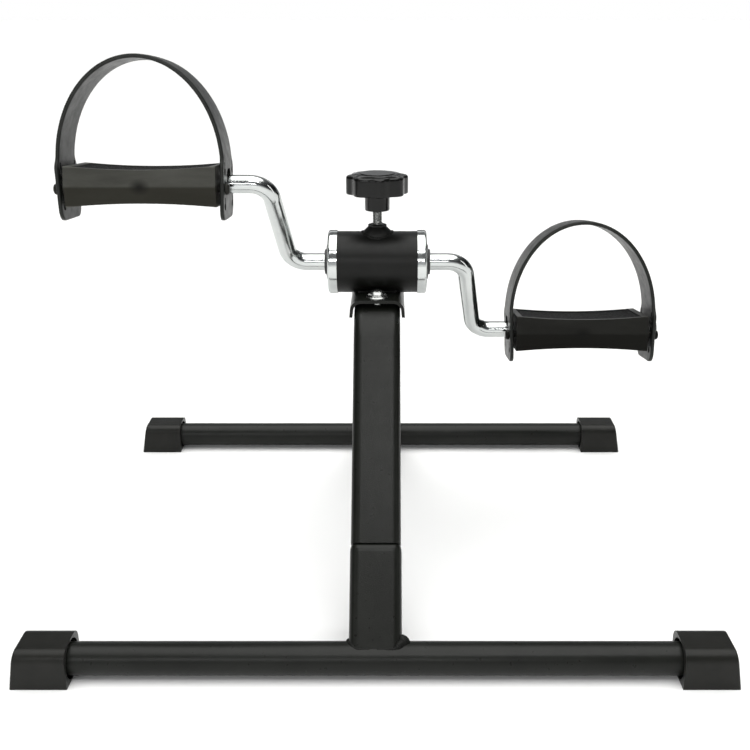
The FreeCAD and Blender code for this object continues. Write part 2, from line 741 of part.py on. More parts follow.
def strap_pegs():
    clear_of_strap = strap_half_span + strap_thickness / 2 + 0.1
    inner_face = strap_centre - clear_of_strap
    outer_face = strap_centre + clear_of_strap
    pegs = []
    for y in (-peg_offset, peg_offset):
        pegs.append(strap_peg(inner_face, -1, y))
        pegs.append(strap_peg(outer_face, 1, y))
    return pegs


def strap_band_face(y):
    """Lengthwise outline of the strap: two short legs and an elliptical arch."""
    half = strap_thickness / 2
    waist_centre = V(strap_centre, y, strap_waist)

    def arch(grow):
        rise = strap_apex - strap_waist + grow
        span = strap_half_span + grow
        ellipse = Part.Ellipse(waist_centre + V(0, 0, rise), waist_centre + V(span, 0, 0), waist_centre)
        return Part.ArcOfEllipse(ellipse, -math.pi / 2, math.pi / 2).toShape()

    edges = [arch(half), arch(-half)]
    for side in (-1, 1):
        outer_waist = waist_centre + V(side * (strap_half_span + half), 0, 0)
        inner_waist = waist_centre + V(side * (strap_half_span - half), 0, 0)
        outer_foot = V(strap_centre + side * (strap_foot_half_span + half), y, strap_bottom)
        inner_foot = V(strap_centre + side * (strap_foot_half_span - half), y, strap_bottom)
        edges.append(Part.makeLine(outer_waist, outer_foot))
        edges.append(Part.makeLine(outer_foot, inner_foot))
        edges.append(Part.makeLine(inner_foot, inner_waist))
    return Part.Face(Part.Wire(Part.__sortEdges__(edges)))


def strap():
    """Moulded rubber strap with a slotted tab at each end."""
    half_tab = strap_tab_width / 2
    half_band = strap_width / 2
    band = strap_band_face(-half_tab).extrude(V(0, strap_tab_width, 0))
    start = strap_centre - 100
    points = [V(start, -half_tab, strap_bottom), V(start, half_tab, strap_bottom),
              V(start, half_tab, tab_top), V(start, half_band, tab_blend_top),
              V(start, half_band, strap_apex + 20), V(start, -half_band, strap_apex + 20),
              V(start, -half_band, tab_blend_top), V(start, -half_tab, tab_top)]
    side_view = closed_outline(points, [tab_corner, tab_corner, 5, 5, 0, 0, 5, 5])
    solid = band.common(side_view.extrude(V(200, 0, 0)))
    slot = closed_outline(
        [V(start, -axle_slot_radius, -axle_slot_radius), V(start, axle_slot_radius, -axle_slot_radius),
         V(start, axle_slot_radius, axle_slot_length), V(start, -axle_slot_radius, axle_slot_length)],
        [axle_slot_radius - 0.01, axle_slot_radius - 0.01, 5, 5])
    solid = solid.cut(slot.extrude(V(200, 0, 0)))
    for z in keyhole_rows:
        for y in (-peg_offset, peg_offset):
            solid = solid.cut(rod(V(start, y, z), X_AXIS, keyhole_radius, 200))
            neck = box(V(start, y - 1.3, z), V(start + 200, y + 1.3, z + 7.0))
            solid = solid.cut(neck)
    return solid


def end_disc():
    """Round retainer pressed onto the axle's outer end."""
    disc = rod(V(end_disc_start, 0, 0), X_AXIS, end_disc_diameter / 2, end_disc_end - end_disc_start)
    rim = edges_where(disc, lambda e: e.isClosed() and e.CenterOfMass.x > end_disc_end - 0.1)
    disc = disc.makeFillet(2.0, rim)
    return disc.cut(rod(V(end_disc_start - 1, 0, 0), X_AXIS, rod_diameter / 2 + 0.02,
                        rod_end - end_disc_start + 1.02))


def on_pedal(shape, side):
    """Place a pedal part on the left or right axle, tilted as that pedal rests."""
    placed = shape if side == "right" else mirror_x(shape)
    placed = placed.copy()
    placed.rotate(V(0, 0, 0), X_AXIS, pedal_tilt[side])
    placed.translate(pedal_axle(1 if side == "right" else -1))
    return placed


# ================================================================ the object
def make_base():
    tube = base_tube()
    cap = foot_cap()
    stub = stub_tube()
    save("front_base_tube", tube)
    save("rear_base_tube", mirror_y(tube))
    save("front_stub_tube", stub)
    save("rear_stub_tube", mirror_y(stub))
    save("front_left_foot", cap)
    save("front_right_foot", mirror_x(cap))
    save("rear_left_foot", mirror_y(cap))
    save("rear_right_foot", mirror_y(mirror_x(cap)))
    save("arch_tube", arch_tube())
    save("leg_screws", leg_screw(), mirror_y(leg_screw()))


def make_drum():
    bolt_places = (-saddle_bolt_spacing / 2, saddle_bolt_spacing / 2)
    save("saddle_bracket", saddle_bracket())
    save("saddle_bolts", *[saddle_bolt(y) for y in bolt_places])
    save("saddle_washers", *[half_moon_washer(y) for y in bolt_places])
    save("saddle_nuts", *[saddle_nut(y) for y in bolt_places])
    save("drum_housing", drum_housing())
    save("adjuster_weld_nut", adjuster_weld_nut())
    save("left_drum_cap", drum_end_cap())
    save("right_drum_cap", mirror_x(drum_end_cap()))
    save("left_crank_bush", crank_bush())
    save("right_crank_bush", mirror_x(crank_bush()))


def make_crank_and_brake():
    save("crank_rod", crank_rod())
    save("brake_sleeve", brake_sleeve())
    save("brake_shoe", brake_shoe())
    save("tension_screw", tension_screw())
    save("tension_knob", tension_knob())
    save("knob_cap", knob_cap())


def make_pedals():
    tread = pedal_tread()
    for side in ("left", "right"):
        save(f"{side}_pedal_body", on_pedal(pedal_body(), side))
        save(f"{side}_pedal_treads", on_pedal(tread, side), on_pedal(upside_down(tread), side))
        save(f"{side}_pedal_bushes", *[on_pedal(bush, side) for bush in pedal_bushes()])
        save(f"{side}_strap_pegs", *[on_pedal(peg, side) for peg in strap_pegs()])
        save(f"{side}_strap", on_pedal(strap(), side))
        save(f"{side}_end_disc", on_pedal(end_disc(), side))


os.makedirs("parts", exist_ok=True)
make_base()
make_drum()
make_crank_and_brake()
make_pedals()
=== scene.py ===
import bpy
import bmesh
import json
import math
import numpy as np
from mathutils import Matrix, Vector


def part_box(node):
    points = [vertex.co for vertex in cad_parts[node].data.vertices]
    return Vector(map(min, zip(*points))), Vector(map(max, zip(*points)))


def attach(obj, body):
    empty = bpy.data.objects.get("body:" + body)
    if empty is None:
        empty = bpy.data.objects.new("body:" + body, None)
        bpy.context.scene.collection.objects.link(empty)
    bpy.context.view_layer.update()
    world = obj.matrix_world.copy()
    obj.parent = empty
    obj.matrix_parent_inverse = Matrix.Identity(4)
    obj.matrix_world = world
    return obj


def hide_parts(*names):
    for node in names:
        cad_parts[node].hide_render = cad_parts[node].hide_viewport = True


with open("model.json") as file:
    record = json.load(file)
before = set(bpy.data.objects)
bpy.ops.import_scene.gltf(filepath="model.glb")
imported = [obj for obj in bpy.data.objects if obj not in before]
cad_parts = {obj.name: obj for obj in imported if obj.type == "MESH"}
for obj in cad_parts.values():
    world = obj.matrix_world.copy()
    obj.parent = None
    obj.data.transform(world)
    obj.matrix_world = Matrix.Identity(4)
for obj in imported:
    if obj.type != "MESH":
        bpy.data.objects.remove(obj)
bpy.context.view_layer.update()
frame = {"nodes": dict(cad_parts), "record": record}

# The looks of a pedal exerciser, built round its CAD frame.  Lengths are in metres.
# +X runs along the crank axis, +Y to the rear bar and +Z up; the origin is on the floor.

MM = 0.001
joints = {joint["name"]: joint for joint in frame["record"]["behaviour"]["joints"]}
nodes = frame["nodes"]

# ---------------------------------------------------------------- driving sizes
PEDAL_CENTRE = {"left": -174.1 * MM, "right": 174.1 * MM}
PEDAL_TILT = {"left": math.radians(-5.0), "right": math.radians(-9.0)}
LEG_LEAN = math.radians(39.0)

STRAP_THICKNESS = 3.0 * MM
STRAP_WIDTH = 39.0 * MM
STRAP_TAB_WIDTH = 48.0 * MM
STRAP_CENTRE = 175.5 * MM
STRAP_FOOT_HALF = 60.0 * MM
STRAP_HALF_SPAN = 61.2 * MM
STRAP_BOTTOM = -26.0 * MM
STRAP_WAIST = 14.0 * MM
STRAP_APEX = 93.0 * MM
STRAP_CROWN = 0.25 * MM
STRAP_EDGE_ROUND = 0.3 * MM
TAB_TOP = 12.0 * MM
TAB_BLEND_TOP = 22.0 * MM
TAB_CORNER = 9.0 * MM
KEYHOLE_ROWS = (10.5 * MM, -2.5 * MM, -15.5 * MM)
KEYHOLE_OFFSET = 17.0 * MM
KEYHOLE_RADIUS = 2.9 * MM
HOLE_CUTTER_HALF = 6.0 * MM

THREAD_PITCH = 1.25 * MM
THREAD_DEPTH = 0.62 * MM

KNOB_LOBES = 8
KNOB_SCALLOP = 2.4 * MM
SCALLOP_SHARPNESS = 1.15
KNOB_HUB_LENGTH = 13.4 * MM
KNOB_HUB_RADIUS = 10.0 * MM
KNOB_DOME = 1.2 * MM
KNOB_LOWER_ROUND = 1.1 * MM
KNOB_UPPER_ROUND = 2.4 * MM
KNOB_TURN = math.radians(22.5 - 6.5)  # a lobe stands 6.5 degrees from +X

LEG_HALF_DEPTH = 10.7 * MM
LEG_CORNER = 7.0 * MM

PEDAL_HALF_HEIGHT = 15.0 * MM
PEDAL_DRAFT_DEPTH = 1.1 * MM
# Heights from the crease over which the painted highlight along the pedal's top and bottom edges
# grows.
PEDAL_RIM_HIGHLIGHT = (13.6 * MM, 14.6 * MM)
# Colour scale of each pedal: the left is raised as painted light, the right lowered as painted
# shade.
PEDAL_PAINTED_LIGHT_LEVEL = {"left": 1.75, "right": 0.40}
# Radius of the painted shade spot at each sink mark.
SINK_MARK_SHADE_RADIUS = 6.5 * MM

DRUM_WELD_HALF_LENGTH = 15.5 * MM
DRUM_WELD_RADIUS = 1.9 * MM
NUT_WELD_RADIUS = 1.5 * MM
BEAD_RIPPLE = 1.5 * MM

FLOOR_HALF_SIZE = 80.0
LIGHT_TARGET = (0.0, 0.0, 0.2)

CAMERA_LENS = 48.0
CAMERA_SHIFT = -0.0220
CAMERA_PLACE = (0.0115, -0.8055, 0.4469)
CAMERA_LOOKS_DOWN = math.radians(19.866)


# ================================================================ mesh helpers
def add_mesh(name, vertices, faces, smooth_angle=40.0):
    """New object from vertices and faces, smooth except across edges sharper than the angle."""
    mesh = bpy.data.meshes.new(name)
    mesh.from_pydata([tuple(v) for v in vertices], [], [tuple(f) for f in faces])
    mesh.validate()
    obj = bpy.data.objects.new(name, mesh)
    bpy.context.scene.collection.objects.link(obj)
    outward(mesh)
    smooth(mesh, smooth_angle)
    return obj


def outward(mesh):
    """Turn every face outward."""
    bm = bmesh.new()
    bm.from_mesh(mesh)
    bmesh.ops.recalc_face_normals(bm, faces=bm.faces)
    bm.to_mesh(mesh)
    bm.free()


def smooth(mesh, angle):
    """Shade smooth, except across edges sharper than the angle in degrees."""
    mesh.polygons.foreach_set("use_smooth", [True] * len(mesh.polygons))
    mesh.set_sharp_from_angle(angle=math.radians(angle))


def ring_surface(rings, closed=False, caps=True):
    """Vertices and quads that join equal rings of points, with flat end caps."""
    count = len(rings[0])
    vertices = [point for ring in rings for point in ring]
    faces = []
    last = len(rings) if closed else len(rings) - 1
    for r in range(last):
        a = r * count
        b = ((r + 1) % len(rings)) * count
        for k in range(count):
            n = (k + 1) % count
            faces.append((a + k, a + n, b + n, b + k))
    if caps and not closed:
        faces.append(tuple(range(count - 1, -1, -1)))
        faces.append(tuple(range((len(rings) - 1) * count, len(rings) * count)))
    return vertices, faces


def finish_piece(obj, body, slot_name, stands_for=(), material=None):
    """Give a piece its material, from its slot unless one is given, put it on its body and hide
    the CAD nodes that it stands for.
    """
    obj.data.materials.clear()
    obj.data.materials.append(material or MATERIALS[slot_name])
    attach(obj, body)
    if stands_for:
        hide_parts(*stands_for)


def apply_modifiers(obj):
    """Bake the modifiers of an object into its mesh."""
    bpy.context.view_layer.update()
    evaluated = obj.evaluated_get(bpy.context.evaluated_depsgraph_get())
    mesh = bpy.data.meshes.new_from_object(evaluated)
    obj.modifiers.clear()
    obj.data = mesh


def soften(obj, width, segments, angle):
    """Round the edges sharper than the angle in degrees."""
    bevel = obj.modifiers.new("soft edges", "BEVEL")
    bevel.width = width
    bevel.segments = segments
    bevel.limit_method = "ANGLE"
    bevel.angle_limit = math.radians(angle)
    bevel.harden_normals = True
    bevel.use_clamp_overlap = True


# ================================================================ materials
class Shader:
    """A Principled material whose colour, roughness and bump come from procedural nodes."""

    def __init__(self, name):
        self.material = bpy.data.materials.new(name)
        self.material.use_nodes = True
        self.tree = self.material.node_tree
        self.principled = self.tree.nodes["Principled BSDF"]
        self.position = self.node("ShaderNodeTexCoord").outputs["Object"]

    def node(self, kind, **settings):
        """New node with its settings."""
        node = self.tree.nodes.new(kind)
        for key, value in settings.items():
            setattr(node, key, value)
        return node

    def link(self, output, target):
        self.tree.links.new(output, target)

    def constants(self, **values):
        """Set the shader's own sockets; an underscore stands for a space in a socket's name."""
        for key, value in values.items():
            self.principled.inputs[key.replace("_", " ")].default_value = value

    def stretched(self, scale):
        """Object coordinates scaled on each axis."""
        mapping = self.node("ShaderNodeMapping")
        mapping.inputs["Scale"].default_value = scale
        self.link(self.position, mapping.inputs["Vector"])
        return mapping.outputs["Vector"]

    def noise(self, scale, detail=3.0, rough=0.55, stretch=(1.0, 1.0, 1.0)):
        """Factor of a noise texture."""
        noise = self.node("ShaderNodeTexNoise")
        noise.inputs["Scale"].default_value = scale
        noise.inputs["Detail"].default_value = detail
        noise.inputs["Roughness"].default_value = rough
        self.link(self.stretched(stretch), noise.inputs["Vector"])
        return noise.outputs["Fac"]

    def cells(self, scale):
        """Distance to the nearest centre of a cell texture."""
        cells = self.node("ShaderNodeTexVoronoi")
        cells.inputs["Scale"].default_value = scale
        self.link(self.stretched((1.0, 1.0, 1.0)), cells.inputs["Vector"])
        return cells.outputs["Distance"]

    def spread(self, value, low, high, start=0.3, end=0.7):
        """Map a value between start and end to the range from low to high."""
        spread = self.node("ShaderNodeMapRange")
        spread.inputs["From Min"].default_value = start
        spread.inputs["From Max"].default_value = end
        spread.inputs["To Min"].default_value = low
        spread.inputs["To Max"].default_value = high
        self.link(value, spread.inputs["Value"])
        return spread.outputs["Result"]

    def colour(self, value, dark, light, start=0.3, end=0.7):
        """Ramp from a dark to a light colour for a value between start and end."""
        ramp = self.node("ShaderNodeValToRGB")
        ramp.color_ramp.elements[0].position = start
        ramp.color_ramp.elements[0].color = (*dark, 1.0)
        ramp.color_ramp.elements[1].position = end
        ramp.color_ramp.elements[1].color = (*light, 1.0)
        self.link(value, ramp.inputs["Fac"])
        return ramp.outputs["Color"]

    def mixed(self, factor, first, second):
        """Mix a colour output with a constant colour; a Mix node's colours are sockets 6 and 7."""
        mix = self.node("ShaderNodeMix", data_type="RGBA")
        self.link(factor, mix.inputs[0])
        self.link(first, mix.inputs[6])
        mix.inputs[7].default_value = (*second, 1.0)
        return mix.outputs[2]

    def set_colour(self, output):
        self.link(output, self.principled.inputs["Base Color"])

    def set_roughness(self, output):
        self.link(output, self.principled.inputs["Roughness"])

    def bumps(self, *layers):
        """Chain bump layers, each (height output, strength, distance in metres)."""
        normal = None
        for height, strength, distance in layers:
            bump = self.node("ShaderNodeBump")
            bump.inputs["Strength"].default_value = strength
            bump.inputs["Distance"].default_value = distance
            self.link(height, bump.inputs["Height"])
            if normal is not None:
                self.link(normal, bump.inputs["Normal"])
            normal = bump.outputs["Normal"]
        self.link(normal, self.principled.inputs["Normal"])


def powder_coat():
    """Satin black powder coat with its fine orange peel."""
    s = Shader("powder_coat")
    broad = s.noise(38.0, 4.0)
    peel = s.noise(1500.0, 2.0, 0.45)
    grain = s.cells(2600.0)
    s.set_colour(s.colour(broad, (0.0050, 0.0055, 0.0044), (0.0085, 0.0092, 0.0076)))
    s.set_roughness(s.spread(s.noise(260.0, 4.0), 0.27, 0.35))
    s.constants(Specular_IOR_Level=0.18)
    s.bumps((peel, 0.34, 0.00030), (grain, 0.08, 0.00008))
    return s.material


def shaded_drum_paint():
    """Smoother black paint, rubbed to a soft gloss, with its colour painted darker than the powder
    coat's as painted shade.
    """
    s = Shader("shaded_drum_paint")
    # Painted shade: the colour is darker than the powder coat's.
    s.set_colour(s.colour(s.noise(50.0, 4.0), (0.0022, 0.0023, 0.0018), (0.0040, 0.0042, 0.0036)))
    s.set_roughness(s.spread(s.noise(180.0, 4.0), 0.36, 0.44))
    s.constants(Specular_IOR_Level=0.20)
    s.bumps((s.noise(700.0, 2.0, 0.45), 0.10, 0.0002))
    return s.material


def weld_paint():
    """The same coat over weld beads, a little glossier where it ran."""
    s = Shader("weld_paint")
    s.set_colour(s.colour(s.noise(300.0, 4.0), (0.0040, 0.0042, 0.0036), (0.0080, 0.0084, 0.0074)))
    s.set_roughness(s.spread(s.noise(700.0, 3.0), 0.34, 0.50))
    s.constants(Specular_IOR_Level=0.13)
    s.bumps((s.noise(700.0, 5.0), 0.7, 0.0007))
    return s.material


def foot_rubber():
    """Moulded rubber with a faint draw texture along the bar."""
    s = Shader("foot_rubber")
    streaks = s.noise(260.0, 4.0, 0.6, (0.25, 1.0, 1.0))
    s.set_colour(s.colour(s.noise(70.0, 5.0), (0.0058, 0.0060, 0.0047), (0.0100, 0.0100, 0.0083)))
    s.set_roughness(s.spread(streaks, 0.28, 0.38))
    s.constants(Specular_IOR_Level=0.18, Sheen_Weight=0.02, Sheen_Roughness=0.5)
    s.bumps((s.noise(2200.0, 3.0, 0.6), 0.30, 0.0003), (streaks, 0.12, 0.0006))
    return s.material


def chrome():
    """Bright chrome plate with faint polishing marks and a soft ripple."""
    s = Shader("chrome")
    marks = s.noise(900.0, 5.0, 0.65, (0.15, 1.0, 1.0))
    s.set_colour(s.colour(s.noise(30.0, 3.0), (0.50, 0.52, 0.515), (0.58, 0.595, 0.585)))
    s.set_roughness(s.spread(marks, 0.10, 0.19))
    s.constants(Metallic=1.0)
    s.bumps((s.noise(85.0, 2.0), 0.10, 0.0012), (marks, 0.03, 0.0001))
    return s.material


def zinc():
    """Bright zinc plate, duller and mottled next to the chrome."""
    s = Shader("zinc")
    s.set_colour(s.colour(s.noise(420.0, 4.0), (0.26, 0.265, 0.26), (0.38, 0.385, 0.375)))
    s.set_roughness(s.spread(s.noise(800.0, 4.0), 0.18, 0.30))
    s.constants(Metallic=1.0)
    s.bumps((s.noise(900.0, 2.0), 0.05, 0.0001))
    return s.material


def black_oxide():
    """Oiled black screws."""
    s = Shader("black_oxide")
    s.set_colour(s.colour(s.noise(500.0, 4.0), (0.022, 0.022, 0.024), (0.045, 0.045, 0.048)))
    s.set_roughness(s.spread(s.noise(900.0, 3.0), 0.28, 0.42))
    s.constants(Metallic=0.6)
    s.bumps((s.noise(1800.0, 3.0), 0.1, 0.0002))
    return s.material


def nylon():
    """Dull black bearing plastic with turning marks."""
    s = Shader("nylon")
    rings = s.noise(1400.0, 3.0, 0.5, (1.0, 0.2, 0.2))
    s.set_colour(s.colour(s.noise(160.0, 4.0), (0.013, 0.013, 0.014), (0.022, 0.022, 0.023)))
    s.set_roughness(s.spread(rings, 0.38, 0.55))
    s.bumps((rings, 0.15, 0.0002))
    return s.material


def turned_steel():
    """Bare steel with turning marks round X."""
    s = Shader("turned_steel")
    turning = s.noise(2400.0, 3.0, 0.5, (1.0, 0.05, 0.05))
    s.set_colour(s.colour(s.noise(90.0, 3.0), (0.38, 0.38, 0.39), (0.5, 0.5, 0.5)))
    s.set_roughness(s.spread(turning, 0.24, 0.40))
    s.constants(Metallic=1.0)
    s.bumps((turning, 0.2, 0.0002))
    return s.material


def friction_pad():
    """Brown brake lining with coarse grains."""
    s = Shader("friction_pad")
    s.set_colour(s.colour(s.cells(700.0), (0.06, 0.045, 0.03), (0.17, 0.13, 0.09), 0.1, 0.8))
    s.set_roughness(s.spread(s.noise(600.0, 4.0), 0.7, 0.9))
    s.bumps((s.cells(900.0), 0.4, 0.0006))
    return s.material


def knob_plastic():
    """Glossy black moulding with light handling marks."""
    s = Shader("knob_plastic")
    s.set_colour(s.colour(s.noise(120.0, 3.0), (0.0030, 0.0031, 0.0028), (0.0055, 0.0056, 0.0052)))
    s.set_roughness(s.spread(s.noise(120.0, 4.0, 0.6), 0.14, 0.22))
    s.constants(Specular_IOR_Level=0.24)
    s.bumps((s.noise(70.0, 2.0), 0.05, 0.0008))
    return s.material


def pedal_plastic(side):
    """Semi-matte moulding with flow marks, a parting crease and a sink mark in each long face.

    Painted shade darkens the half below the crease and a spot at each sink mark. Painted light
    brightens the faces that tilt up, and a painted highlight runs along the top and bottom edges.
    The left pedal is painted the paler of the two, as painted light, and the right darker, as
    painted shade.
    """
    s = Shader(f"{side}_pedal_plastic")
    local = s.node("ShaderNodeMapping", vector_type="TEXTURE")
    axle = joints[f"{side}_pedal_spin"]["pos_m"]
    local.inputs["Location"].default_value = (PEDAL_CENTRE[side], axle[1], axle[2])
    local.inputs["Rotation"].default_value = (PEDAL_TILT[side], 0.0, 0.0)
    s.link(s.position, local.inputs["Vector"])
    place = s.node("ShaderNodeSeparateXYZ")
    s.link(local.outputs["Vector"], place.inputs[0])

    flow = s.noise(30.0, 5.0, 0.6, (0.4, 1.0, 1.8))
    # Painted light and shade: the left pedal's colour is scaled up as painted light, the right's
    # down as painted shade.
    painted_light_level = PEDAL_PAINTED_LIGHT_LEVEL[side]
    base = s.colour(flow, (0.019 * painted_light_level, 0.019 * painted_light_level, 0.0165 * painted_light_level),
                    (0.036 * painted_light_level, 0.036 * painted_light_level, 0.032 * painted_light_level))
    # Painted shade: the lower half, below the crease, is darker.
    shade_below_crease = s.spread(place.outputs["Z"], 0.80, 0.0, -1.0 * MM, 1.0 * MM)
    base = s.mixed(shade_below_crease, base, (0.008 * painted_light_level, 0.0075 * painted_light_level, 0.0050 * painted_light_level))

    # Painted shade: a dark spot at the sink mark in the middle of each long face.
    flattened = s.node("ShaderNodeVectorMath", operation="MULTIPLY")
    flattened.inputs[1].default_value = (0.75, 0.0, 1.0)
    s.link(local.outputs["Vector"], flattened.inputs[0])
    from_middle = s.node("ShaderNodeVectorMath", operation="LENGTH")
    s.link(flattened.outputs[0], from_middle.inputs[0])
    sink_mark_shade = s.spread(from_middle.outputs["Value"], 0.85, 0.0, 1.0 * MM, SINK_MARK_SHADE_RADIUS)
    base = s.mixed(sink_mark_shade, base, (0.004, 0.004, 0.0035))

    # Painted light: faces that tilt up are lighter.
    geometry = s.node("ShaderNodeNewGeometry")
    facing = s.node("ShaderNodeSeparateXYZ")
    s.link(geometry.outputs["Normal"], facing.inputs[0])
    lit_top_faces = s.spread(facing.outputs["Z"], 0.0, 0.8, 0.80, 0.93)
    base = s.mixed(lit_top_faces, base, (0.070, 0.072, 0.068))

    from_crease = s.node("ShaderNodeMath", operation="ABSOLUTE")
    s.link(place.outputs["Z"], from_crease.inputs[0])
    # Painted highlight: a lighter band along the top and bottom edges.
    rim_highlight = s.spread(from_crease.outputs[0], 0.0, 0.5, *PEDAL_RIM_HIGHLIGHT)
    s.set_colour(s.mixed(rim_highlight, base, (0.070 * painted_light_level, 0.070 * painted_light_level, 0.062 * painted_light_level)))

    cloud = s.noise(16.0, 3.0, 0.5, (0.8, 1.0, 1.6))
    s.set_roughness(s.spread(cloud, 0.30, 0.50))
    s.constants(Specular_IOR_Level=0.07)
    draft = s.spread(from_crease.outputs[0], 1.0, 0.0, 0.0, PEDAL_HALF_HEIGHT)
    s.bumps((draft, 1.0, PEDAL_DRAFT_DEPTH), (flow, 0.14, 0.0012),
            (s.noise(1700.0, 3.0, 0.6), 0.08, 0.0002))
    return s.material


def tread_rubber():
    """Matt black rubber with a fine grain."""
    s = Shader("tread_rubber")
    s.set_colour(s.colour(s.noise(140.0, 4.0), (0.0035, 0.0035, 0.0034), (0.0080, 0.0080, 0.0078)))
    s.set_roughness(s.spread(s.noise(500.0, 4.0), 0.50, 0.70))
    s.constants(Specular_IOR_Level=0.15)
    s.bumps((s.noise(1900.0, 4.0, 0.6), 0.3, 0.0003))
    return s.material


def strap_rubber():
    """Semi-gloss moulded rubber with a soft bloom and fine stretch marks."""
    s = Shader("strap_rubber")
    bloom = s.noise(46.0, 5.0, 0.6)
    s.set_colour(s.colour(bloom, (0.010, 0.0108, 0.0096), (0.021, 0.0222, 0.0204)))
    s.set_roughness(s.spread(s.noise(130.0, 4.0, 0.6), 0.30, 0.44))
    s.constants(Specular_IOR_Level=0.16)
    s.bumps((s.noise(90.0, 3.0), 0.10, 0.0010), (s.noise(2100.0, 3.0, 0.6), 0.10, 0.0002))
    return s.material


def pale_floor():
    """Matt and nearly white."""
    s = Shader("pale_floor")
    s.set_colour(s.colour(s.noise(3.0, 3.0), (0.955, 0.955, 0.955), (0.975, 0.975, 0.975)))
    s.set_roughness(s.spread(s.noise(9.0, 3.0), 0.62, 0.72))
    s.bumps((s.noise(120.0, 2.0), 0.02, 0.0005))
    return s.material


MATERIALS = {
    "powder_coat": powder_coat(),
    "black_rubber_feet": foot_rubber(),
    "chrome": chrome(),
    "zinc": zinc(),
    "dark_screw": black_oxide(),
    "bush_plastic": nylon(),
    "brake_metal": turned_steel(),
    "brake_pad": friction_pad(),
    "knob_plastic": knob_plastic(),
    "pedal_plastic": pedal_plastic("right"),
    "tread_rubber": tread_rubber(),
    "strap_rubber": strap_rubber(),
}
WELD_PAINT = weld_paint()
SHADED_DRUM_PAINT = shaded_drum_paint()
# The drum and its nut take the coat painted darker as painted shade; the left pedal takes its own
# copy, painted lighter as painted light.
OWN_MATERIALS = {"drum_housing": SHADED_DRUM_PAINT, "adjuster_weld_nut": SHADED_DRUM_PAINT,
                 "left_pedal_body": pedal_plastic("left")}


def dress_cad_nodes():
    """Give every CAD node its own material, or the material of its record slot."""
    for part in frame["record"]["subparts"]:
        data = nodes[part["node"]].data
        if not data.materials:
            data.materials.append(None)
        material = OWN_MATERIALS.get(part["node"], MATERIALS[part["material_slot"]])
        for index in range(len(data.materials)):
            data.materials[index] = material


# ================================================================ straps
def strap_path():
    """Centre line of the strap seen along Y, from its inner tab over to its outer one."""
    centre = STRAP_CENTRE
    rise = STRAP_APEX - STRAP_WAIST
    leg_steps = 60
    arch_steps = 160
    leg = [(centre - STRAP_FOOT_HALF + (STRAP_FOOT_HALF - STRAP_HALF_SPAN) * k / leg_steps,
            STRAP_BOTTOM + (STRAP_WAIST - STRAP_BOTTOM) * k / leg_steps) for k in range(leg_steps)]
    angles = [math.pi * k / arch_steps for k in range(arch_steps + 1)]
    arch = [(centre - STRAP_HALF_SPAN * math.cos(angle), STRAP_WAIST + rise * math.sin(angle))
            for angle in angles]
    down = [(2 * centre - x, z) for x, z in reversed(leg)]
    return np.array(leg + arch + down)


def strap_half_width(height):
    """Half the strap's width at a height on one of its legs; the tab's corners are round."""
    half_tab = STRAP_TAB_WIDTH / 2
    half_band = STRAP_WIDTH / 2
    up = height - STRAP_BOTTOM
    if up < TAB_CORNER:
        reach = math.sqrt(max(0.0, TAB_CORNER ** 2 - (TAB_CORNER - up) ** 2))
        return half_tab - TAB_CORNER + reach
    if height < TAB_TOP:
        return half_tab
    if height < TAB_BLEND_TOP:
        along = (height - TAB_TOP) / (TAB_BLEND_TOP - TAB_TOP)
        return half_tab + (half_band - half_tab) * (0.5 - 0.5 * math.cos(math.pi * along))
    return half_band


def strap_section(half_width, half_thickness, crown):
    """Closed cross-section in (y, n): round edges and a slightly crowned outer face."""
    edge = half_thickness * 0.8
    arc_steps = 5
    face_steps = 14
    points = []
    for corner, start in (((1, 1), 0), ((-1, 1), 90), ((-1, -1), 180), ((1, -1), 270)):
        centre = (corner[0] * (half_width - edge), corner[1] * (half_thickness - edge))
        for k in range(arc_steps + 1):
            angle = math.radians(start + 90 * k / arc_steps)
            points.append((centre[0] + edge * math.cos(angle), centre[1] + edge * math.sin(angle)))
        if start in (0, 180):
            sign = 1 if start == 0 else -1
            for k in range(1, face_steps):
                y = sign * (half_width - edge) * (1 - 2 * k / face_steps)
                bulge = crown * (1 - (y / half_width) ** 2) if sign > 0 else 0.0
                points.append((y, sign * half_thickness + bulge))
    return points


def prism(bm, outline, half_depth):
    """Closed prism along Z of an outline of (x, y) points."""
    low = [bm.verts.new((x, y, -half_depth)) for x, y in outline]
    high = [bm.verts.new((x, y, half_depth)) for x, y in outline]
    count = len(outline)
    bm.faces.new(list(reversed(low)))
    bm.faces.new(high)
    for k in range(count):
        n = (k + 1) % count
        bm.faces.new((low[k], low[n], high[n], high[k]))


def keyhole_outline(s, y, toward):
    """Round hole with a narrow neck; toward is +1 or -1 along the strap."""
    neck_half = 1.3 * MM
    neck_end = 7.0 * MM
    open_angle = math.asin(neck_half / KEYHOLE_RADIUS)
    steps = 28
    points = []
    for k in range(steps + 1):
        angle = open_angle + (2 * math.pi - 2 * open_angle) * k / steps
        points.append((s + toward * KEYHOLE_RADIUS * math.cos(angle),
                       y + toward * KEYHOLE_RADIUS * math.sin(angle)))
    tip = 8
    for k in range(tip + 1):
        angle = math.pi / 2 - math.pi * k / tip
        points.append((s + toward * (neck_end - neck_half + neck_half * math.cos(angle)),
                       y - toward * neck_half * math.sin(angle)))
    return points


def slot_outline(s, toward):
    """The axle's opening: round below and squarer above."""
    radius = 8.0 * MM
    top = 12.0 * MM
    top_round = 5.0 * MM
    round_steps = 24
    corner_steps = 6
    points = []
    for k in range(round_steps + 1):
        angle = math.pi / 2 + math.pi * k / round_steps
        points.append((s + toward * radius * math.cos(angle), toward * radius * math.sin(angle)))
    for side, start in ((-1, -90), (1, 0)):
        for k in range(corner_steps + 1):
            angle = math.radians(start + 90 * k / corner_steps)
            x = top - top_round + top_round * math.cos(angle)
            y = side * (radius - top_round) + top_round * math.sin(angle)
            points.append((s + toward * x, toward * y))
    return points


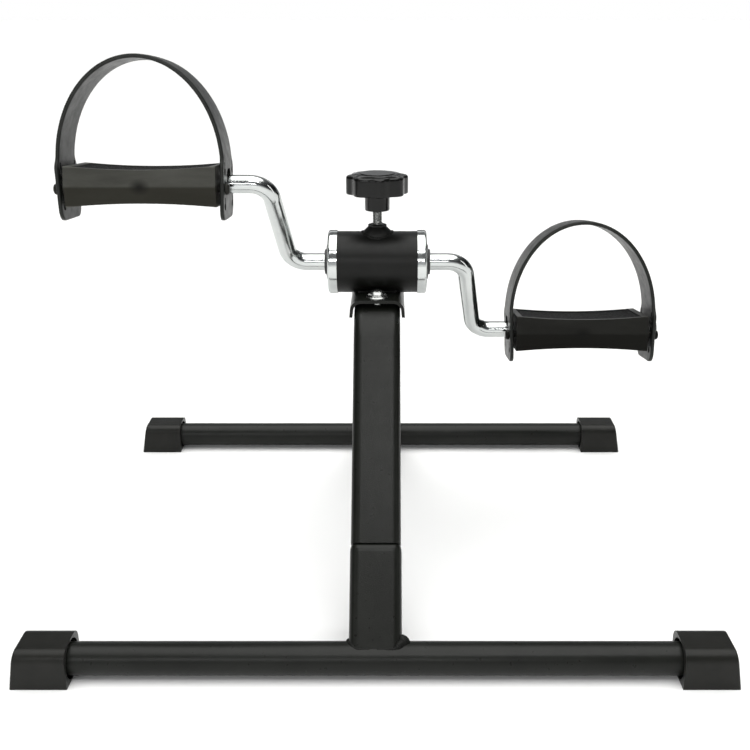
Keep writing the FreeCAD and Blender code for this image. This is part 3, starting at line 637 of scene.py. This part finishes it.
def flat_strap(lengths, heights):
    """The strap laid flat: x along it, y across it and z through it, with its holes cut."""
    total = lengths[-1]
    steps = 260
    stops = [total * k / steps for k in range(steps + 1)]
    # Round the tabs' corners, finer stops take the place of the first and last eight.
    end_steps = 14
    near = [TAB_CORNER * (1 - math.cos(math.pi / 2 * k / end_steps))
            for k in range(end_steps + 1)]
    stops = sorted(set(near + [total - v for v in near] + stops[8:-8]))
    # Each end thins to 0.62 of the thickness over its rounded edge.
    end_round = STRAP_THICKNESS * 0.35
    rings = []
    for s in stops:
        height = float(np.interp(s, lengths, heights))
        edge = min(s, total - s)
        thick = STRAP_THICKNESS / 2
        if edge < end_round:
            thick *= 0.62 + 0.38 * math.sqrt(1 - (1 - edge / end_round) ** 2)
        section = strap_section(strap_half_width(height), thick, STRAP_CROWN)
        rings.append([(s, y, n) for y, n in section])
    vertices, faces = ring_surface(rings)
    flat = add_mesh("strap_flat", vertices, faces)
    bm = bmesh.new()
    for start, toward in ((0.0, 1), (total, -1)):
        axle = start - toward * STRAP_BOTTOM
        prism(bm, slot_outline(axle, toward), HOLE_CUTTER_HALF)
        for row in KEYHOLE_ROWS:
            for y in (-KEYHOLE_OFFSET, KEYHOLE_OFFSET):
                prism(bm, keyhole_outline(axle + toward * row, y, toward), HOLE_CUTTER_HALF)
    bmesh.ops.recalc_face_normals(bm, faces=bm.faces)
    mesh = bpy.data.meshes.new("strap_holes")
    bm.to_mesh(mesh)
    bm.free()
    cutter = bpy.data.objects.new("strap_holes", mesh)
    bpy.context.scene.collection.objects.link(cutter)
    cut = flat.modifiers.new("holes", "BOOLEAN")
    cut.operation = "DIFFERENCE"
    cut.solver = "EXACT"
    cut.object = cutter
    apply_modifiers(flat)
    bpy.data.objects.remove(cutter)
    return flat


def make_strap(side):
    """Bend the flat strap round its path and set it on its pedal."""
    path = strap_path()
    steps = np.linalg.norm(np.diff(path, axis=0), axis=1)
    lengths = np.concatenate([[0.0], np.cumsum(steps)])
    tangents = np.gradient(path, lengths, axis=0)
    tangents /= np.linalg.norm(tangents, axis=1)[:, None]
    obj = flat_strap(lengths, path[:, 1])
    obj.name = f"{side}_strap_rubber"
    for vertex in obj.data.vertices:
        s, y, n = vertex.co
        x = np.interp(s, lengths, path[:, 0])
        z = np.interp(s, lengths, path[:, 1])
        tx = np.interp(s, lengths, tangents[:, 0])
        tz = np.interp(s, lengths, tangents[:, 1])
        vertex.co = (x - n * tz, y, z + n * tx)
    obj.data.transform(pedal_matrix(side))
    outward(obj.data)
    smooth(obj.data, 50.0)
    finish_piece(obj, f"{side}_pedal", "strap_rubber", [f"{side}_strap"])
    soften(obj, STRAP_EDGE_ROUND, 2, 50.0)


def pedal_matrix(side):
    """From the level right pedal about its axle to a pedal's resting place."""
    axle = Vector(joints[f"{side}_pedal_spin"]["pos_m"])
    axle.x = 0.0
    mirror = Matrix.Scale(-1 if side == "left" else 1, 4, (1, 0, 0))
    return Matrix.Translation(axle) @ Matrix.Rotation(PEDAL_TILT[side], 4, "X") @ mirror


# ================================================================ knob and screw
def scallop_depth(angle):
    """How far the knob's outline lies inside its circle at an angle from a scallop's middle."""
    wave = 0.5 + 0.5 * math.cos(KNOB_LOBES * angle)
    return KNOB_SCALLOP * wave ** SCALLOP_SHARPNESS


def make_knob():
    """Lobed grip with rounded rims, a seat for its cap on top and a hub below."""
    low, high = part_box("tension_knob")
    cap_low, cap_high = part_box("knob_cap")
    radius = (high.x - low.x) / 2
    grip_bottom = low.z + KNOB_HUB_LENGTH
    rim_top = high.z - KNOB_DOME
    around = 320
    # Each row of the profile is (radius, height, how far it follows the lobes).
    hub = KNOB_HUB_RADIUS
    profile = [(hub - 0.9 * MM, low.z, 0),
               (hub - 0.25 * MM, low.z + 0.25 * MM, 0),
               (hub, low.z + 0.9 * MM, 0),
               (hub + 0.1 * MM, grip_bottom - 1.6 * MM, 0),
               (hub + 0.5 * MM, grip_bottom - 0.5 * MM, 0),
               (hub + 1.4 * MM, grip_bottom, 0)]
    lower = KNOB_LOWER_ROUND
    lower_steps = 6
    for k in range(lower_steps + 1):
        angle = math.pi / 2 * k / lower_steps
        profile.append((radius - lower + lower * math.sin(angle),
                        grip_bottom + lower - lower * math.cos(angle), 1))
    side_height = rim_top - 2 * MM - grip_bottom - lower
    for k in range(1, 6):
        profile.append((radius, grip_bottom + lower + side_height * k / 6, 1))
    upper = KNOB_UPPER_ROUND
    upper_steps = 8
    for k in range(upper_steps + 1):
        angle = math.pi / 2 * k / upper_steps
        profile.append((radius - upper + upper * math.cos(angle),
                        rim_top - upper + upper * math.sin(angle), 1))
    seat = (cap_high.x - cap_low.x) / 2 + 0.15 * MM
    dome_width = radius - upper - seat - 1.2 * MM
    for k in range(1, upper_steps + 1):
        along = k / upper_steps
        profile.append((radius - upper - dome_width * along,
                        rim_top + KNOB_DOME * math.sin(math.pi / 2 * along), 1 - along))
    profile.append((seat + 0.35 * MM, high.z - 0.02 * MM, 0))
    profile.append((seat, high.z - 0.4 * MM, 0))
    profile.append((seat, cap_low.z + 0.05 * MM, 0))
    rings = []
    for r, z, lobed in profile:
        ring = []
        for k in range(around):
            angle = 2 * math.pi * k / around
            reach = r - lobed * scallop_depth(angle + KNOB_TURN)
            ring.append((reach * math.cos(angle), reach * math.sin(angle), z))
        rings.append(ring)
    vertices, faces = ring_surface(rings)
    obj = add_mesh("knob_grip", vertices, faces, 45.0)
    finish_piece(obj, "knob", "knob_plastic", ["tension_knob"])


def make_screw():
    """The tension screw with its real thread, one turn for each pitch."""
    low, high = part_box("tension_screw")
    radius = (high.x - low.x) / 2
    around = 48
    per_pitch = 8
    length = high.z - low.z
    count = int(length / THREAD_PITCH * per_pitch)
    rings = []
    for r in range(count + 1):
        z = low.z + length * r / count
        end = min(z - low.z, high.z - z)
        taper = max(0.0, 1.0 * MM - end)
        ring = []
        for k in range(around):
            angle = 2 * math.pi * k / around
            phase = ((z - low.z) / THREAD_PITCH - k / around) % 1.0
            flank = min(1.0, max(0.0, (abs(phase - 0.5) * 2 - 0.12) / 0.76))
            reach = radius - THREAD_DEPTH * flank
            reach = min(reach, radius - taper)
            ring.append((reach * math.cos(angle), reach * math.sin(angle), z))
        rings.append(ring)
    vertices, faces = ring_surface(rings)
    obj = add_mesh("tension_screw_thread", vertices, faces, 75.0)
    finish_piece(obj, "knob", "zinc", ["tension_screw"])


# ================================================================ weld beads
def bead(name, points, normals, radii, closed):
    """A weld bead: a flattened tube along the points whose surface has regular ripples."""
    points = np.array(points)
    normals = np.array(normals)
    count = len(points)
    steps = np.linalg.norm(np.diff(points, axis=0), axis=1)
    along = np.concatenate([[0.0], np.cumsum(steps)])
    if closed:
        tangents = np.roll(points, -1, axis=0) - np.roll(points, 1, axis=0)
    else:
        tangents = np.gradient(points, axis=0)
    around = 14
    end_taper = count * 0.06
    rings = []
    for i in range(count):
        tangent = tangents[i] / np.linalg.norm(tangents[i])
        up = normals[i] - tangent * normals[i].dot(tangent)
        up /= np.linalg.norm(up)
        side = np.cross(tangent, up)
        # Close ripples, and two slower waves that make the width wander.
        wave = abs(math.sin(math.pi * along[i] / BEAD_RIPPLE))
        wander = 0.12 * math.sin(along[i] * 900.0) + 0.08 * math.sin(along[i] * 370.0 + 1.0)
        radius = radii[i] * (0.80 + 0.24 * wave + 1.1 * wander)
        if not closed:
            nose = min(i, count - 1 - i) / end_taper
            radius *= math.sqrt(max(0.02, 1 - (1 - min(1.0, nose)) ** 2))
        ring = []
        for k in range(around):
            angle = 2 * math.pi * k / around
            ring.append(points[i] + side * radius * math.cos(angle)
                        + up * radius * 0.8 * math.sin(angle))
        rings.append(ring)
    vertices, faces = ring_surface(rings, closed)
    return add_mesh(name, vertices, faces, 80.0)


def stub_weld(end, sign):
    """Fillet weld round a leg's foot on its bar: thin in front, with a blob at one corner."""
    low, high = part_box(f"{end}_base_tube")
    bar_radius = (high.z - low.z) / 2
    centre = (low + high) / 2
    stub_low, stub_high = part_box(f"{end}_stub_tube")
    half_width = (stub_high.x - stub_low.x) / 2
    across = Vector((1, 0, 0))
    up_leg = Vector((0, sign * math.sin(LEG_LEAN), math.cos(LEG_LEAN)))
    depth = Vector((0, -sign * math.cos(LEG_LEAN), math.sin(LEG_LEAN)))
    outline = rounded_rectangle(half_width, LEG_HALF_DEPTH, LEG_CORNER, 30)
    points = []
    normals = []
    radii = []
    blob_size = 3.0 if end == "front" else 0.4
    # In the outline, e runs across the bar and is greatest on the side away from the arch.
    for x, e, nx, ne in outline:
        s = math.sqrt(bar_radius ** 2 - e ** 2)
        point = centre + across * x + depth * e + up_leg * s
        outward_from_bar = (depth * e + up_leg * s).normalized()
        leg_normal = across * nx + depth * ne
        normals.append(tuple((outward_from_bar + leg_normal).normalized()))
        front = max(0.0, ne)
        blob = math.exp(-((x - half_width) / (6 * MM)) ** 2
                        - ((e - LEG_HALF_DEPTH * 0.45) / (7 * MM)) ** 2)
        gap = math.exp(-((x + 1.5 * MM) / (2.6 * MM)) ** 4) * front
        radii.append((1.8 - 0.95 * front ** 2 - 0.6 * gap + blob_size * blob) * MM)
        points.append(tuple(point + leg_normal * (0.2 - 0.6 * front + 0.8 * blob) * MM))
    obj = bead(f"{end}_leg_weld", points, normals, radii, True)
    finish_piece(obj, "frame", "powder_coat", material=WELD_PAINT)


def rounded_rectangle(half_width, half_depth, corner, corner_steps):
    """Evenly spread (x, y, normal x, normal y) round a rounded rectangle."""
    result = []
    spacing = corner * math.pi / 2 / corner_steps
    corners = ((1, 1, 0), (-1, 1, 90), (-1, -1, 180), (1, -1, 270))
    for sx, sy, start in corners:
        cx = sx * (half_width - corner)
        cy = sy * (half_depth - corner)
        for k in range(corner_steps):
            angle = math.radians(start + 90 * k / corner_steps)
            nx, ny = math.cos(angle), math.sin(angle)
            result.append((cx + corner * nx, cy + corner * ny, nx, ny))
        span = 2 * (half_width - corner) if start in (0, 180) else 2 * (half_depth - corner)
        angle = math.radians(start + 90)
        nx, ny = math.cos(angle), math.sin(angle)
        x0, y0 = cx + corner * nx, cy + corner * ny
        steps = max(1, int(span / spacing))
        for k in range(steps):
            slide = span * k / steps
            result.append((x0 - ny * slide, y0 + nx * slide, nx, ny))
    return result


def drum_welds():
    """Beads where the drum lies in the saddle's cut edges."""
    low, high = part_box("drum_housing")
    saddle_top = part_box("saddle_bracket")[1].z
    radius = (high.z - low.z) / 2
    axis_height = (high.z + low.z) / 2
    drop = axis_height - saddle_top
    reach = math.sqrt(radius ** 2 - drop ** 2)
    half = DRUM_WELD_HALF_LENGTH
    steps = 120
    radii = [DRUM_WELD_RADIUS] * (steps + 1)
    for name, sign in (("front", -1), ("rear", 1)):
        # The bead stands a little proud of the line where the drum meets the saddle.
        points = [(half * (2 * k / steps - 1), sign * (reach + 0.7 * MM), saddle_top + 0.3 * MM)
                  for k in range(steps + 1)]
        normals = [(0.0, sign * 0.6, 0.8)] * (steps + 1)
        obj = bead(f"{name}_drum_weld", points, normals, radii, False)
        finish_piece(obj, "frame", "powder_coat", material=WELD_PAINT)


def nut_weld():
    """Ring of weld where the screw's nut meets the drum's crown."""
    low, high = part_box("adjuster_weld_nut")
    drum_low, drum_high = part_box("drum_housing")
    radius = (drum_high.z - drum_low.z) / 2
    axis_height = (drum_high.z + drum_low.z) / 2
    ring_radius = (high.x - low.x) / 2 - 0.2 * MM
    steps = 240
    points = []
    normals = []
    for k in range(steps):
        angle = 2 * math.pi * k / steps
        x = ring_radius * math.cos(angle)
        y = ring_radius * math.sin(angle)
        z = axis_height + math.sqrt(radius ** 2 - y ** 2)
        points.append((x, y, z - 0.5 * MM))
        normals.append((0.0, y / radius, math.sqrt(1 - (y / radius) ** 2)))
    obj = bead("nut_weld", points, normals, [NUT_WELD_RADIUS] * steps, True)
    finish_piece(obj, "frame", "powder_coat", material=WELD_PAINT)


# ================================================================ stage
def make_stage():
    """A pale floor that reaches the horizon."""
    size = FLOOR_HALF_SIZE
    corners = [(-size, -size, 0), (size, -size, 0), (size, size, 0), (-size, size, 0)]
    floor = add_mesh("floor", corners, [(0, 1, 2, 3)])
    floor.data.materials.append(pale_floor())


def area_light(name, place, width, height, power):
    """A rectangular light at a place, aimed at the object."""
    light = bpy.data.lights.new(name, "AREA")
    light.shape = "RECTANGLE"
    light.size = width
    light.size_y = height
    light.energy = power
    obj = bpy.data.objects.new(name, light)
    bpy.context.scene.collection.objects.link(obj)
    obj.location = place
    aim = Vector(LIGHT_TARGET) - Vector(place)
    obj.rotation_mode = "QUATERNION"
    obj.rotation_quaternion = aim.to_track_quat("-Z", "Y")


def even_sky(power, spread):
    """A very broad light from above, which lights the whole floor evenly."""
    light = bpy.data.lights.new("even_sky", "SUN")
    light.energy = power
    light.angle = spread
    light.color = (1.0, 1.0, 0.98)
    obj = bpy.data.objects.new("even_sky", light)
    bpy.context.scene.collection.objects.link(obj)


def make_lights():
    """A broad sky, two narrow softboxes in front, one at each side and one behind."""
    even_sky(3.15, math.radians(66.0))
    area_light("front_softbox", (-0.4, -2.2, 1.0), 1.6, 0.14, 12.0)
    area_light("upper_softbox", (0.3, -1.4, 1.9), 1.3, 0.14, 7.5)
    area_light("left_softbox", (-1.7, -1.1, 0.9), 0.35, 1.2, 3.0)
    area_light("right_softbox", (1.7, -0.5, 0.8), 0.25, 1.2, 2.0)
    area_light("back_rim", (0.0, 2.0, 1.3), 2.4, 0.4, 3.0)


def make_world():
    """White to the camera; to all else pale up to the horizon, dark above and at the sides."""
    world = bpy.data.worlds.new("studio")
    bpy.context.scene.world = world
    world.use_nodes = True
    tree = world.node_tree
    tree.nodes.clear()
    output = tree.nodes.new("ShaderNodeOutputWorld")
    mix = tree.nodes.new("ShaderNodeMixShader")
    path = tree.nodes.new("ShaderNodeLightPath")
    seen = tree.nodes.new("ShaderNodeBackground")
    seen.inputs["Color"].default_value = (1.0, 1.0, 1.0, 1.0)
    room = tree.nodes.new("ShaderNodeBackground")
    place = tree.nodes.new("ShaderNodeTexCoord")
    split = tree.nodes.new("ShaderNodeSeparateXYZ")
    ramp = tree.nodes.new("ShaderNodeValToRGB")
    lift = tree.nodes.new("ShaderNodeMapRange")
    lift.inputs["From Min"].default_value = -1.0
    tree.links.new(place.outputs["Generated"], split.inputs[0])
    tree.links.new(split.outputs["Z"], lift.inputs["Value"])
    tree.links.new(lift.outputs["Result"], ramp.inputs["Fac"])
    ramp.color_ramp.elements[0].position = 0.50
    ramp.color_ramp.elements[0].color = (0.80, 0.81, 0.83, 1.0)
    ramp.color_ramp.elements[1].position = 0.64
    ramp.color_ramp.elements[1].color = (0.035, 0.037, 0.040, 1.0)
    top = ramp.color_ramp.elements.new(0.95)
    top.color = (0.25, 0.255, 0.26, 1.0)
    side = tree.nodes.new("ShaderNodeMath")
    side.operation = "ABSOLUTE"
    tree.links.new(split.outputs["X"], side.inputs[0])
    fade = tree.nodes.new("ShaderNodeMapRange")
    fade.inputs["From Min"].default_value = 0.45
    fade.inputs["From Max"].default_value = 0.85
    fade.inputs["To Min"].default_value = 1.0
    fade.inputs["To Max"].default_value = 0.12
    tree.links.new(side.outputs[0], fade.inputs["Value"])
    tree.links.new(fade.outputs["Result"], room.inputs["Strength"])
    tree.links.new(ramp.outputs["Color"], room.inputs["Color"])
    tree.links.new(path.outputs["Is Camera Ray"], mix.inputs[0])
    tree.links.new(room.outputs[0], mix.inputs[1])
    tree.links.new(seen.outputs[0], mix.inputs[2])
    tree.links.new(mix.outputs[0], output.inputs[0])


def make_camera():
    """Straight on to the front bar, close, and looking down by about twenty degrees."""
    data = bpy.data.cameras.new("camera")
    data.sensor_width = 36.0
    data.lens = CAMERA_LENS
    data.shift_x = CAMERA_SHIFT
    camera = bpy.data.objects.new("camera", data)
    camera.location = CAMERA_PLACE
    camera.rotation_euler = (math.pi / 2 - CAMERA_LOOKS_DOWN, 0.0, 0.0)
    bpy.context.scene.collection.objects.link(camera)
    bpy.context.scene.camera = camera


dress_cad_nodes()
for pedal_side in ("left", "right"):
    make_strap(pedal_side)
make_knob()
make_screw()
stub_weld("front", 1)
stub_weld("rear", -1)
drum_welds()
nut_weld()
make_stage()
make_lights()
make_world()
make_camera()
bpy.context.scene.view_settings.view_transform = "Standard"
